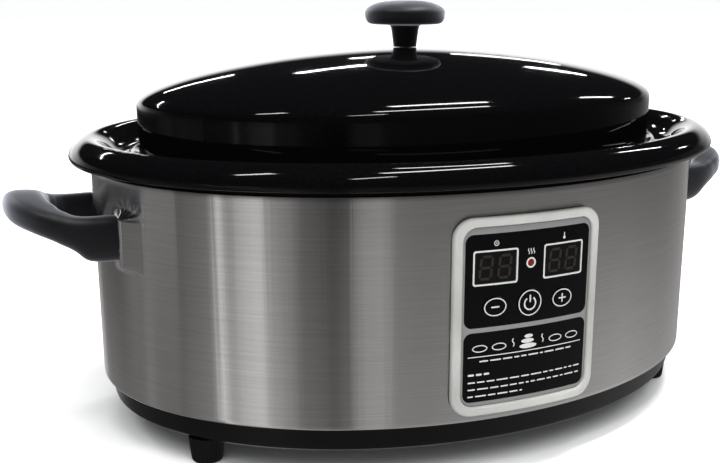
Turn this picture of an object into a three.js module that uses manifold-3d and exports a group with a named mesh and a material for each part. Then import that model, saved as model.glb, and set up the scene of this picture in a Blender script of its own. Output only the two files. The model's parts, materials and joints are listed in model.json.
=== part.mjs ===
// Oval electric hot stone heater: a steel housing with a control panel, a lift-out
// enamelled stone pan and a domed lid with a knob.
// Frame: millimetres, +Z up, origin on the resting surface under the middle of the
// housing, +X along the long axis, and the control panel faces -Y.

import * as THREE from 'three';
import * as BufferGeometryUtils from 'three/addons/utils/BufferGeometryUtils.js';
import Module from 'manifold-3d';

const wasm = await Module();
wasm.setup();

// ---------------------------------------------------------------- driving dimensions

const SHELL_A = 183.2; // half length of the steel shell
const SHELL_B = 138.4; // half width of the steel shell
const SHELL_WALL = 1.0;
const SHELL_BOTTOM = 28.8;
const SHELL_TOP = 145.8;
const BASE_UNDERSIDE = 14.4;
const BASE_A = 177.8; // half length of the base at its lower edge
const FLOOR_THICKNESS = 2.5;
const GAP = 0.3; // clearance between pieces that touch

const RIM_A = 194.5; // half length over the pan's rolled rim
const RIM_WIDEST = 151.8;
const RIM_CREST = 161.6;
const PAN_FLOOR = 60;
const LINER_FLOOR = 52.5;
const PAN_WALL = 2;
const LID_A = 157.1; // half length of the lid's skirt
const LID_WALL = 1.6;
const LID_BOTTOM = 152.9;
const LID_SHOULDER = 178.6;
const LID_TOP = 206.2;
const KNOB_UNDERSIDE = 219.1;
const KNOB_TOP = 232.8;
const KNOB_RADIUS = 23.35;
const STEM_TOP_RADIUS = 8.1;
const STEM_FOOT_RADIUS = 6.8;

const FOOT_X = 145;
const FOOT_Y = 62;
const FOOT_TOP_RADIUS = 9.5;
const FOOT_BOTTOM_RADIUS = 8.25;

const PANEL_Z = 83.6; // height of the panel's centre
const BEZEL_WIDTH = 83.6;
const BEZEL_HEIGHT = 101;
const BEZEL_CORNER = 10;
const BEZEL_RING = 4.8;
const BEZEL_PROUD = 4.0;
const OVERLAY_PROUD = 2.5;
const KEY_PROUD = 3.0;
const WINDOW_WIDTH = 23.6;
const WINDOW_HEIGHT = 17.2;
const WINDOW_X = 19.5;
const WINDOW_Z = 108.9;
const LED_Z = 109.4;
const KEY_Z = 88.9;
const SIDE_KEY_X = 19.5;
const SIDE_KEY_RADII = [6.4, 5.0];
const POWER_KEY_RADIUS = 7.0;
const BOARD_Y = -130; // back face of the control board

const PRONG_Y = 33.5; // handle prongs' distance from the middle
const PRONG_Z = 115.5; // height of the screws in the prongs
const PLATE_THICKNESS = 2;
const HANDLE_SCREW_HEAD = 2.6;
// Flat seats pressed out of the shell, one for each prong.
const SEAT_X = 180;
const SEAT_EDGE_Y = 41;
const SEAT_FOOT_Y = 51;
const SEAT_LOW = 99;
const SEAT_HIGH = 131.5;

const INLET_Z = 62; // height of the mains inlet's centre
const INLET_SCREW_X = 20;
const CAVITY_WIDTH = 24.4;
const CAVITY_HEIGHT = 16.4;
const CAVITY_DEPTH = 14;
const PROBE_Y = -50; // temperature probe's distance behind the panel's side
const SENSOR_LOW = 46.9; // the probe and the cut-out press on the liner's underside
const SENSOR_HIGH = 51.1;

const OVAL_STEP = SHELL_A - SHELL_B; // every oval is this much shorter across
const OVAL_SEGMENTS = 44;
const ROUND_SEGMENTS = 20;

// --------------------------------------------------------------------------- materials

function finish(color, roughness, metalness) {
  return new THREE.MeshStandardMaterial({ color, roughness, metalness });
}

const brushedSteel = finish(0x9d9b98, 0.35, 1);
const zincSteel = finish(0xa8abae, 0.4, 1);
const aluminium = finish(0xb9bbbd, 0.45, 1);
const blackEnamel = finish(0x060606, 0.08, 0);
const blackPhenolic = finish(0x15151a, 0.5, 0);
const blackPlastic = finish(0x101012, 0.45, 0);
const footRubber = finish(0x0c0c0c, 0.7, 0);
const bezelPlastic = finish(0xc8c8be, 0.45, 0);
const overlayFilm = finish(0x141416, 0.35, 0);
const displayLens = finish(0x1c1a18, 0.2, 0);
const redLens = finish(0x7a1410, 0.2, 0);
const boardGreen = finish(0x1f5a35, 0.6, 0);
const glassWool = finish(0xd8d2bc, 0.95, 0);
const heaterSilicone = finish(0x8a3a22, 0.8, 0);
const relayBlue = finish(0x2a5da8, 0.5, 0);
const ceramicWhite = finish(0xe6e2d8, 0.6, 0);
const leadRed = finish(0x9a2a22, 0.7, 0);
const leadGrey = finish(0x8c8c8c, 0.7, 0);

// ---------------------------------------------------------------- solids from geometry

// Merge shared vertices, drop zero-area triangles and face the surface outwards.
function closed(geometry) {
  const bare = geometry.clone();
  bare.deleteAttribute('normal');
  bare.deleteAttribute('uv');
  const merged = BufferGeometryUtils.mergeVertices(bare, 1e-3);
  const index = merged.index.array;
  const point = (i) => new THREE.Vector3().fromBufferAttribute(merged.attributes.position, i);
  const kept = [];
  let volume = 0;
  for (let i = 0; i < index.length; i += 3) {
    const [a, b, c] = [index[i], index[i + 1], index[i + 2]];
    if (a === b || b === c || c === a) continue;
    kept.push(a, b, c);
    volume += point(a).dot(point(b).cross(point(c)));
  }
  if (volume < 0) kept.reverse();
  merged.setIndex(kept);
  return merged;
}

function solid(geometry) {
  const shape = closed(geometry);
  const source = {
    numProp: 3,
    vertProperties: new Float32Array(shape.attributes.position.array),
    triVerts: new Uint32Array(shape.index.array),
  };
  return new wasm.Manifold(new wasm.Mesh(source));
}

function geometryOf(manifold) {
  const { vertProperties, triVerts } = manifold.getMesh();
  const geometry = new THREE.BufferGeometry();
  geometry.setAttribute('position', new THREE.BufferAttribute(vertProperties, 3));
  geometry.setIndex(new THREE.BufferAttribute(triVerts, 1));
  return geometry;
}

const model = new THREE.Group();

function addPart(name, shape, material) {
  const geometry = shape instanceof THREE.BufferGeometry ? closed(shape) : geometryOf(shape);
  const flat = geometry.toNonIndexed();
  flat.computeVertexNormals();
  const mesh = new THREE.Mesh(flat, material);
  mesh.name = name;
  model.add(mesh);
}

// ------------------------------------------------------------------------ shape helpers

// A turned ring or disc stretched to the housing's oval. Profile points are
// [half length, height]; half widths are smaller by SHELL_A - SHELL_B outside the core
// half length, and in proportion inside it.
function oval(profile, core = 150) {
  const points = profile.map(([r, z]) => new THREE.Vector2(r, z));
  const turned = new THREE.LatheGeometry(points, OVAL_SEGMENTS);
  turned.rotateX(Math.PI / 2);
  const position = turned.attributes.position;
  for (let i = 0; i < position.count; i += 1) {
    const x = position.getX(i);
    const y = position.getY(i);
    const r = Math.hypot(x, y);
    const narrowing = OVAL_STEP * Math.min(1, r / core);
    const squeeze = r > 0 ? (r - narrowing) / r : 1;
    position.setY(i, y * squeeze);
  }
  return turned;
}

// Closed profile of a sheet: the given face and a second face set off by its thickness.
function sheet(face, thickness) {
  const back = face.map(([r, z], i) => {
    const before = face[Math.max(i - 1, 0)];
    const after = face[Math.min(i + 1, face.length - 1)];
    const along = new THREE.Vector2(after[0] - before[0], after[1] - before[1]).normalize();
    const onAxis = r === 0;
    const offsetR = onAxis ? 0 : r + along.y * thickness;
    return [offsetR, z - (onAxis ? thickness : along.x * thickness)];
  });
  const outline = [...face, ...back.reverse()];
  return face[0][0] === 0 ? outline : [...outline, face[0]];
}

// A round piece turned about a vertical axis through (x, y).
function turned(profile, x = 0, y = 0, segments = ROUND_SEGMENTS) {
  const points = profile.map(([r, z]) => new THREE.Vector2(r, z));
  return new THREE.LatheGeometry(points, segments).rotateX(Math.PI / 2).translate(x, y, 0);
}

// A round piece turned about an axis along X: profile points are [radius, x].
function turnedAlongX(profile, side, y, z) {
  const points = profile.map(([r, x]) => new THREE.Vector2(r, x));
  const piece = new THREE.LatheGeometry(points, 12).rotateZ(-Math.PI / 2);
  if (side < 0) piece.rotateZ(Math.PI);
  return piece.translate(0, y, z);
}

// A round piece turned about an axis along Y: profile points are [radius, y].
function turnedAlongY(profile, x, z) {
  const points = profile.map(([r, y]) => new THREE.Vector2(r, y));
  return new THREE.LatheGeometry(points, 12).translate(x, 0, z);
}

function block(width, depth, height, x, y, z) {
  return new THREE.BoxGeometry(width, depth, height).translate(x, y, z);
}

function roundedRectangle(width, height, radius, x = 0, z = 0) {
  const shape = new THREE.Shape();
  const [left, right] = [x - width / 2, x + width / 2];
  const [low, high] = [z - height / 2, z + height / 2];
  shape.moveTo(left + radius, low);
  shape.lineTo(right - radius, low);
  shape.absarc(right - radius, low + radius, radius, -Math.PI / 2, 0);
  shape.absarc(right - radius, high - radius, radius, 0, Math.PI / 2);
  shape.absarc(left + radius, high - radius, radius, Math.PI / 2, Math.PI);
  shape.absarc(left + radius, low + radius, radius, Math.PI, Math.PI * 1.5);
  return shape;
}

function ellipse(radiusX, radiusZ, x, z) {
  return new THREE.Shape().absellipse(x, z, radiusX, radiusZ, 0, Math.PI * 2, false, 0);
}

// An outline in X and Z pushed along Y, between two Y values.
function prism(outline, nearY, farY, curveSegments = 4) {
  const options = { depth: farY - nearY, bevelEnabled: false, curveSegments };
  return solid(new THREE.ExtrudeGeometry(outline, options).rotateX(Math.PI / 2).translate(0, farY, 0));
}

// The upright oval prism of the shell grown by an offset.
function ovalPrism(offset) {
  const outline = ellipse(SHELL_A + offset, SHELL_B + offset, 0, 0);
  const options = { depth: SHELL_TOP + 100, bevelEnabled: false, curveSegments: 72 };
  return solid(new THREE.ExtrudeGeometry(outline, options).translate(0, 0, -50));
}

// A piece of the wall outside the shell: an outline in X and Z, between two offsets.
function wallPiece(outline, inner, outer, side = -1, curveSegments = 4) {
  const ring = ovalPrism(outer).subtract(ovalPrism(inner));
  const span = side < 0 ? [-SHELL_B - 20, -SHELL_B + 40] : [SHELL_B - 40, SHELL_B + 20];
  return ring.intersect(prism(outline, span[0], span[1], curveSegments));
}

// A round lead along a smooth route.
function lead(route, radius) {
  const path = new THREE.CatmullRomCurve3(route.map((p) => new THREE.Vector3(...p)));
  const section = new THREE.Shape();
  section.absarc(0, 0, radius, 0, Math.PI * 2);
  const options = { steps: 12, extrudePath: path, curveSegments: 3 };
  return new THREE.ExtrudeGeometry(section, options);
}

// Screw with a domed head, pointing away from its head along its axis.
function screwProfile(headRadius, headHeight, shankRadius, start, length) {
  return [
    [0, start],
    [headRadius * 0.6, start],
    [headRadius, start + headHeight * 0.5],
    [headRadius, start + headHeight],
    [shankRadius, start + headHeight],
    [shankRadius, start + length],
    [0, start + length],
  ];
}

// --------------------------------------------------------------- housing and oval shells

// The shell's half length at a distance across.
function shellX(y) {
  return SHELL_A * Math.sqrt(1 - (y / SHELL_B) ** 2);
}

// The solid inside each of the four seats, shrunk by an offset. A seat is flat at SEAT_X,
// and a 45 degree wall takes it back to the oval from SEAT_EDGE_Y to SEAT_FOOT_Y.
function seatPrisms(offset) {
  const [insideX, insideY] = [150, 20]; // a corner well inside the shell
  const narrowing = offset * Math.tan(Math.PI / 8);
  const corners = [
    [insideX, insideY],
    [SEAT_X - offset, insideY],
    [SEAT_X - offset, SEAT_EDGE_Y - narrowing],
    [shellX(SEAT_FOOT_Y) - offset, SEAT_FOOT_Y - narrowing],
    [insideX, SEAT_FOOT_Y - narrowing],
  ];
  const options = { depth: SEAT_HIGH - SEAT_LOW - 2 * offset, bevelEnabled: false };
  const seats = [];
  for (const side of [-1, 1]) {
    for (const rear of [-1, 1]) {
      const outline = new THREE.Shape(corners.map(([x, y]) => new THREE.Vector2(side * x, rear * y)));
      seats.push(solid(new THREE.ExtrudeGeometry(outline, options).translate(0, 0, SEAT_LOW + offset)));
    }
  }
  return seats;
}

// The shell's wall follows the seats at its own thickness.
function pressSeats(shell) {
  const inside = ovalPrism(-SHELL_WALL / 2);
  let pressed = shell;
  for (const seat of seatPrisms(0)) {
    pressed = pressed.add(seat.subtract(inside));
  }
  for (const hollow of seatPrisms(SHELL_WALL)) {
    pressed = pressed.subtract(hollow);
  }
  return pressed;
}

function outerShell() {
  const inner = SHELL_A - SHELL_WALL;
  const hem = SHELL_WALL + 0.8;
  const profile = [
    [SHELL_A, SHELL_BOTTOM],
    [SHELL_A, SHELL_TOP],
    [inner, SHELL_TOP],
    [inner, SHELL_BOTTOM + 4],
    [SHELL_A - hem, SHELL_BOTTOM + 3],
    [SHELL_A - hem, SHELL_BOTTOM],
    [SHELL_A, SHELL_BOTTOM],
  ];
  let shell = pressSeats(solid(oval(profile)));
  const cutout = roundedRectangle(66, 80, 4, 0, PANEL_Z);
  shell = shell.subtract(prism(cutout, -SHELL_B - 10, -SHELL_B + 30));
  const inletHole = roundedRectangle(29, 21, 3, 0, INLET_Z);
  shell = shell.subtract(prism(inletHole, SHELL_B - 30, SHELL_B + 10));
  for (const side of [-1, 1]) {
    for (const y of [-PRONG_Y, PRONG_Y]) shell = shell.subtract(prongBore(2.1, side, y));
  }
  return shell;
}

function topCollar() {
  const outer = SHELL_A - SHELL_WALL - GAP;
  const wall = 2.6;
  return oval([
    [outer, 134],
    [outer, 150.3],
    [outer - 1, 151.2],
    [outer - wall, 151.2],
    [outer - wall, 149.2],
    [160.5, 149.2],
    [160.5, 147.2],
    [outer - wall, 147.2],
    [outer - wall, 134],
    [outer, 134],
  ]);
}

function linerWell() {
  const well = sheet(
    [
      [0, LINER_FLOOR],
      [134, LINER_FLOOR],
      [144, 56],
      [150.5, 64],
      [153.5, 76],
      [157.6, 145.7],
      [178.4, 146.8],
    ],
    1.0,
  );
  const bore = turned([[0, 40], [3.2, 40], [3.2, 60], [0, 60]], 0, 0, 12);
  return solid(oval(well)).subtract(solid(bore));
}

function heaterBand() {
  return oval([[156.8, 72], [159.3, 118], [160.6, 118], [158.1, 72], [156.8, 72]]);
}

// Glass wool around the heater, notched at the rear for the mains inlet's body.
function insulationJacket() {
  const ring = oval([[161.5, 62], [161.5, 136], [168, 136], [168, 62], [161.5, 62]]);
  return solid(ring).subtract(solid(block(34, 30, 40, 0, SHELL_B - 12, INLET_Z - 4)));
}

function heatReflector() {
  const plate = sheet([[0, 45.5], [150, 45.5], [158, 49.5], [166, 50]], 0.8);
  const bore = turned([[0, 40], [3.2, 40], [3.2, 60], [0, 60]], 0, 0, 12);
  const probeHole = turned([[0, 40], [3.2, 40], [3.2, 60], [0, 60]], 0, PROBE_Y, 12);
  return solid(oval(plate)).subtract(solid(bore)).subtract(solid(probeHole));
}

function basePan() {
  const inside = sheet(
    [
      [0, BASE_UNDERSIDE + FLOOR_THICKNESS],
      [BASE_A - 6, BASE_UNDERSIDE + FLOOR_THICKNESS],
      [BASE_A - 2.5, BASE_UNDERSIDE + 5],
      [SHELL_A - 5.2, SHELL_BOTTOM],
      [SHELL_A - 5.2, SHELL_BOTTOM + 12],
    ],
    FLOOR_THICKNESS,
  );
  let base = solid(oval(inside));
  base = base.add(solid(turned([[0, 15], [6, 15], [6, 26], [0, 26]], 0, 0, 16)));
  base = base.subtract(solid(turned([[0, 10], [3.2, 10], [3.2, 40], [0, 40]], 0, 0, 12)));
  for (const [x, y] of footPlaces()) {
    base = base.add(solid(turned([[0, 16], [5, 16], [5, 25], [0, 25]], x, y, 12)));
    base = base.subtract(solid(turned([[0, 10], [1.9, 10], [1.9, 22], [0, 22]], x, y, 12)));
  }
  return base;
}

// ---------------------------------------------------------------------------------- feet

function footPlaces() {
  return [[-FOOT_X, -FOOT_Y], [FOOT_X, -FOOT_Y], [-FOOT_X, FOOT_Y], [FOOT_X, FOOT_Y]];
}

function foot(x, y) {
  const top = BASE_UNDERSIDE - GAP;
  return turned(
    [
      [4.6, 0],
      [FOOT_BOTTOM_RADIUS - 1, 0],
      [FOOT_BOTTOM_RADIUS, 1.2],
      [FOOT_TOP_RADIUS, top - 2],
      [FOOT_TOP_RADIUS, top],
      [2.2, top],
      [2.2, 6],
      [4.6, 6],
      [4.6, 0],
    ],
    x,
    y,
    16,
  );
}

function footScrew(x, y) {
  return turned(screwProfile(3.9, 2.4, 1.6, 3.3, 17.5), x, y, 12);
}

// ------------------------------------------------------------------------------- handles

// A screw hole along X through the shell, the plate and the prong.
function prongBore(radius, side, y) {
  const profile = [[0, 150], [radius, 150], [radius, 192], [0, 192]];
  return solid(turnedAlongX(profile, side, y, PRONG_Z));
}

// Stations along half a handle: centre x, y, z, then half width and half height.
const HANDLE_STATIONS = [
  { centre: [166, -PRONG_Y, 116.7], half: [6.9, 11.8] },
  { centre: [188, -PRONG_Y, 116.7], half: [6.9, 11.8] },
  { centre: [196, -33.2, 118.3], half: [7.2, 10.9] },
  { centre: [203, -30.8, 122.2], half: [7.8, 8.5] },
  { centre: [212.4, -24.4, 126.5], half: [9.4, 7.6] },
  { centre: [218, -13.4, 128.9], half: [10.6, 7.7] },
  { centre: [219.4, 0, 129.9], half: [10.8, 7.9] },
];

// A bar swept along the stations and cut back to the wall it is screwed to.
function handle(side) {
  const mirrored = HANDLE_STATIONS.slice(0, -1).reverse().map(({ centre: [x, y, z], half }) => {
    return { centre: [x, -y, z], half };
  });
  const stations = [...HANDLE_STATIONS, ...mirrored];
  const path = new THREE.CatmullRomCurve3(stations.map((s) => new THREE.Vector3(...s.centre)));
  const sizes = new THREE.CatmullRomCurve3(stations.map((s) => new THREE.Vector3(...s.half, 0)));
  const tube = new THREE.CylinderGeometry(1, 1, 1, 12, 18);
  const position = tube.attributes.position;
  for (let i = 0; i < position.count; i += 1) {
    const along = THREE.MathUtils.clamp(position.getY(i) + 0.5, 0, 1);
    const centre = path.getPoint(along);
    const size = sizes.getPoint(along);
    const tangent = path.getTangent(along);
    const across = new THREE.Vector3(tangent.y, -tangent.x, 0).normalize();
    const rounding = 0.8; // below 1 squares the section a little
    const u = Math.sign(position.getX(i)) * Math.abs(position.getX(i)) ** rounding;
    const v = Math.sign(position.getZ(i)) * Math.abs(position.getZ(i)) ** rounding;
    centre.addScaledVector(across, u * size.x);
    position.setXYZ(i, centre.x * side, centre.y, centre.z + v * size.y);
  }
  let grip = solid(tube).subtract(ovalPrism(GAP));
  for (const seat of seatPrisms(-GAP)) {
    grip = grip.subtract(seat);
  }
  for (const y of [-PRONG_Y, PRONG_Y]) grip = grip.subtract(prongBore(1.9, side, y));
  return grip;
}

// Backing plate inside the shell, behind one prong.
function handlePlate(side, y) {
  const middle = SEAT_X - SHELL_WALL - GAP - PLATE_THICKNESS / 2;
  const plate = solid(block(PLATE_THICKNESS, 13, 26, side * middle, y, PRONG_Z));
  return plate.subtract(prongBore(2.1, side, y));
}

function handleScrew(side, y) {
  const start = SEAT_X - SHELL_WALL - PLATE_THICKNESS - HANDLE_SCREW_HEAD - 2 * GAP;
  return turnedAlongX(screwProfile(4, HANDLE_SCREW_HEAD, 1.6, start, 17.5), side, y, PRONG_Z);
}

// ------------------------------------------------------------------------- control panel

function keyOutlines(margin) {
  const [rx, rz] = SIDE_KEY_RADII;
  return [
    ['key_minus', ellipse(rx + margin, rz + margin, -SIDE_KEY_X, KEY_Z)],
    ['key_power', ellipse(POWER_KEY_RADIUS + margin, POWER_KEY_RADIUS + margin, 0, KEY_Z)],
    ['key_plus', ellipse(rx + margin, rz + margin, SIDE_KEY_X, KEY_Z)],
  ];
}

function windowOutline(x, margin) {
  return roundedRectangle(WINDOW_WIDTH + margin, WINDOW_HEIGHT + margin, 1.2, x, WINDOW_Z);
}

function panelBezel() {
  const outer = roundedRectangle(BEZEL_WIDTH, BEZEL_HEIGHT, BEZEL_CORNER, 0, PANEL_Z);
  const opening = roundedRectangle(
    BEZEL_WIDTH - 2 * BEZEL_RING,
    BEZEL_HEIGHT - 2 * BEZEL_RING,
    BEZEL_CORNER - 4,
    0,
    PANEL_Z,
  );
  const frame = wallPiece(outer, GAP, BEZEL_PROUD, -1, 6);
  return frame.subtract(wallPiece(opening, 0, BEZEL_PROUD + 1, -1, 6));
}

function panelOverlay() {
  const width = BEZEL_WIDTH - 2 * BEZEL_RING - 2 * GAP;
  const height = BEZEL_HEIGHT - 2 * BEZEL_RING - 2 * GAP;
  const outline = roundedRectangle(width, height, BEZEL_CORNER - 4 - GAP, 0, PANEL_Z);
  let film = wallPiece(outline, 0.6, OVERLAY_PROUD, -1, 6);
  const deep = [-SHELL_B - 10, -SHELL_B + 30];
  for (const [, hole] of keyOutlines(0.3)) film = film.subtract(prism(hole, ...deep, 10));
  for (const x of [-WINDOW_X, WINDOW_X]) {
    film = film.subtract(prism(windowOutline(x, 0), ...deep));
  }
  return film.subtract(prism(ellipse(1.8, 1.8, 0, LED_Z), ...deep, 4));
}

function panelKey(outline) {
  return wallPiece(outline, 0.9, KEY_PROUD, -1, 10);
}

function display(x) {
  const outline = windowOutline(x, -0.6);
  const body = prism(outline, -SHELL_B - 10, BOARD_Y - 1.6 - GAP, 3);
  return body.intersect(ovalPrism(OVERLAY_PROUD - 0.5));
}

function heatLed() {
  const front = -SHELL_B - OVERLAY_PROUD + 0.1;
  const back = BOARD_Y - 1.6 - GAP;
  const lens = [[0, front], [1.1, front + 0.4], [1.5, front + 1.4]];
  return turnedAlongY([...lens, [1.5, back], [0, back]], 0, LED_Z);
}

function tactSwitch(x) {
  const seat = BOARD_Y - 1.6 - GAP;
  const tip = -SHELL_B * Math.sqrt(1 - (x / SHELL_A) ** 2) - 0.2;
  const body = solid(block(6, 3.6, 6, x, seat - 1.8, KEY_Z));
  const plunger = [[0, tip], [1.7, tip], [1.7, seat - 1], [0, seat - 1]];
  return body.add(solid(turnedAlongY(plunger, x, KEY_Z)));
}

function controlBoard() {
  return block(62, 1.6, 74, 0, BOARD_Y - 0.8, PANEL_Z);
}

// A shallow box behind the board that keeps heat off it, open towards the panel.
function controlBox() {
  const outer = solid(block(70, 10, 82, 0, -128.5, PANEL_Z));
  const inner = solid(block(67, 10, 79, 0, -130, PANEL_Z));
  const slot = solid(block(24, 6, 6, 0, -124, PANEL_Z - 40));
  return outer.subtract(inner).subtract(slot);
}

// --------------------------------------------------------------------- power electronics

function mainsInlet() {
  const mouth = SHELL_B + 3;
  let inlet = wallPiece(roundedRectangle(50, 24, 5, 0, INLET_Z), GAP, 3, 1);
  const body = prism(roundedRectangle(28, 20, 3, 0, INLET_Z), SHELL_B - 18, SHELL_B + 1);
  inlet = inlet.add(body);
  const cavity = roundedRectangle(CAVITY_WIDTH, CAVITY_HEIGHT, 2.5, 0, INLET_Z);
  inlet = inlet.subtract(prism(cavity, mouth - CAVITY_DEPTH - 3, mouth + 10));
  for (const [x, z] of [[-7, -1.5], [0, 2.5], [7, -1.5]]) {
    const pin = block(2, CAVITY_DEPTH, 4, x, mouth - CAVITY_DEPTH / 2 - 4, INLET_Z + z);
    inlet = inlet.add(solid(pin));
  }
  for (const x of [-INLET_SCREW_X, INLET_SCREW_X]) {
    const bore = turnedAlongY([[0, 120], [1.9, 120], [1.9, 160], [0, 160]], x, INLET_Z);
    inlet = inlet.subtract(solid(bore));
  }
  return inlet;
}

function inletScrew(x) {
  const top = SHELL_B + 5.2;
  const profile = [[0, top], [2, top], [3.4, top - 1], [3.4, top - 1.9], [1.5, top - 1.9]];
  return turnedAlongY([...profile, [1.5, SHELL_B + 0.4], [0, SHELL_B + 0.4]], x, INLET_Z);
}

// A disc clamped between the reflector and the liner.
function sensorDisc(radius, x, y) {
  const profile = [[0, SENSOR_LOW], [radius, SENSOR_LOW], [radius, SENSOR_HIGH], [0, SENSOR_HIGH]];
  return turned(profile, x, y, 16);
}

function electronics() {
  addPart('power_board', block(84, 52, 1.6, 40, 40, 28), boardGreen);
  addPart('relay', block(19, 15, 12, 28, 52, 35.1), relayBlue);
  addPart('terminal_block', block(30, 12, 10, 60, 54, 34.1), ceramicWhite);
  addPart('thermal_cutout', sensorDisc(8, -60, 20), ceramicWhite);
  addPart('temperature_probe', sensorDisc(4, 0, PROBE_Y), zincSteel);
}

function wiring() {
  const probe = [[0, PROBE_Y, 46.5], [0, PROBE_Y, 42], [3, -35, 36], [10, -5, 36], [20, 26, 31]];
  addPart('heater_lead_live', heaterLead(52, 64), leadRed);
  addPart('heater_lead_neutral', heaterLead(68, 84), leadRed);
  addPart('probe_lead', lead(probe, 1.0), leadGrey);
  addPart('ribbon_cable', ribbonCable(), leadGrey);
}

// From the terminal block under the reflector's edge and up to the heater band.
function heaterLead(blockX, bandX) {
  const bandY = (r) => (r - OVAL_STEP) * Math.sqrt(1 - (bandX / r) ** 2);
  const route = [
    [blockX, 61.8, 34],
    [(blockX + bandX) / 2, 84, 34],
    [bandX, bandY(166) - 6, 37],
    [bandX, bandY(170.5), 47],
    [bandX, bandY(167), 55],
    [bandX, bandY(159.4), 61],
    [bandX, bandY(158.9), 70.3],
  ];
  return lead(route, 1.1);
}

// Flat cable from the control board down to the power board.
function ribbonCable() {
  const route = new THREE.CatmullRomCurve3([
    new THREE.Vector3(0, -126, 50),
    new THREE.Vector3(0, -125, 42),
    new THREE.Vector3(2, -110, 33),
    new THREE.Vector3(8, -60, 31),
    new THREE.Vector3(18, -10, 31),
    new THREE.Vector3(22, 12, 31),
  ]);
  const strip = new THREE.BoxGeometry(14, 0.9, 1, 1, 1, 14);
  const position = strip.attributes.position;
  for (let i = 0; i < position.count; i += 1) {
    const along = position.getZ(i) + 0.5;
    const centre = route.getPoint(along);
    const tangent = route.getTangent(along);
    const normal = new THREE.Vector3(0, -tangent.z, tangent.y).normalize();
    centre.addScaledVector(normal, position.getY(i));
    position.setXYZ(i, centre.x + position.getX(i), centre.y, centre.z);
  }
  return strip;
}

// ------------------------------------------------------------------ centre bolt and nut

function centreBolt() {
  return turned(screwProfile(5, 3, 2.4, BASE_UNDERSIDE - 3 - GAP, 44.5), 0, 0, 12);
}

function centreNut() {
  const seat = LINER_FLOOR + GAP;
  const top = seat + 2.6;
  return turned([[2.8, seat], [5.2, seat], [5.2, top], [2.8, top], [2.8, seat]], 0, 0, 6);
}

// -------------------------------------------------------------------------- pan and lid

function stonePan() {
  const wallTop = 152.2;
  const face = [
    [0, PAN_FLOOR],
    [126, PAN_FLOOR],
    [138, 62.5],
    [145.5, 69.5],
    [148.2, 80],
    [wallTop, 147],
    [154, 150.8],
    [157.5, 152.1],
    [160.6, 153.0],
    [163, 152.4],
    [167, 151.8],
    [172, 154.4],
    [177.5, 159.6],
    [181.5, RIM_CREST - 0.1],
    [186, RIM_CREST - 0.6],
    [190.4, 158.4],
    [193.4, 155.2],
    [RIM_A, RIM_WIDEST],
    [193.7, 149.8],
  ];
  return oval(sheet(face, PAN_WALL));
}

// Height of the domed lid at a fraction of the skirt's half length.
function domeHeight(fraction) {
  const drop = (1 - fraction ** 1.8) ** (1 / 1.62);
  return LID_SHOULDER + (LID_TOP - LID_SHOULDER) * drop;
}

function lid() {
  const face = [[0, LID_TOP]];
  for (const fraction of [0.12, 0.3, 0.48, 0.64, 0.78, 0.89, 0.96, 0.99]) {
    face.push([LID_A * fraction, domeHeight(fraction)]);
  }
  face.push([LID_A, LID_SHOULDER - 1.5], [LID_A, LID_BOTTOM]);
  const bore = turned([[0, 190], [2.7, 190], [2.7, 215], [0, 215]], 0, 0, 12);
  return solid(oval(sheet(face, LID_WALL), LID_A)).subtract(solid(bore));
}

function lidKnob() {
  const foot = LID_TOP + GAP;
  const cap = KNOB_TOP - KNOB_UNDERSIDE;
  return turned(
    [
      [0, foot + 9],
      [1.8, foot + 9],
      [1.8, foot],
      [STEM_FOOT_RADIUS, foot],
      [STEM_TOP_RADIUS, KNOB_UNDERSIDE - 3],
      [STEM_TOP_RADIUS + 0.8, KNOB_UNDERSIDE],
      [KNOB_RADIUS - 3, KNOB_UNDERSIDE + 0.4],
      [KNOB_RADIUS - 0.4, KNOB_UNDERSIDE + cap * 0.3],
      [KNOB_RADIUS, KNOB_UNDERSIDE + cap * 0.45],
      [KNOB_RADIUS - 1.2, KNOB_UNDERSIDE + cap * 0.68],
      [KNOB_RADIUS * 0.72, KNOB_UNDERSIDE + cap * 0.88],
      [KNOB_RADIUS * 0.4, KNOB_UNDERSIDE + cap * 0.97],
      [0, KNOB_TOP],
    ],
    0,
    0,
    20,
  );
}

function knobWasher() {
  const top = LID_TOP - LID_WALL - 2 * GAP;
  return turned([[2.6, top], [6.5, top], [6.5, top - 1], [2.6, top - 1], [2.6, top]], 0, 0, 16);
}

function knobScrew() {
  const start = LID_TOP - LID_WALL - 3 * GAP - 1 - 2.4;
  return turned(screwProfile(4.5, 2.4, 1.5, start, 13), 0, 0, 12);
}

// ------------------------------------------------------------------------------ assembly

addPart('outer_shell', outerShell(), brushedSteel);
addPart('top_collar', topCollar(), blackPlastic);
addPart('liner_well', linerWell(), aluminium);
addPart('heater_band', heaterBand(), heaterSilicone);
addPart('insulation_jacket', insulationJacket(), glassWool);
addPart('heat_reflector', heatReflector(), aluminium);
addPart('base_pan', basePan(), blackPlastic);
addPart('centre_bolt', centreBolt(), zincSteel);
addPart('centre_nut', centreNut(), zincSteel);

footPlaces().forEach(([x, y], i) => {
  addPart(`foot_${i + 1}`, foot(x, y), footRubber);
  addPart(`foot_screw_${i + 1}`, footScrew(x, y), zincSteel);
});

for (const [label, side] of [['left', -1], ['right', 1]]) {
  addPart(`handle_${label}`, handle(side), blackPhenolic);
  for (const [end, y] of [['front', -PRONG_Y], ['rear', PRONG_Y]]) {
    addPart(`handle_plate_${label}_${end}`, handlePlate(side, y), zincSteel);
    addPart(`handle_screw_${label}_${end}`, handleScrew(side, y), zincSteel);
  }
}

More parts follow.
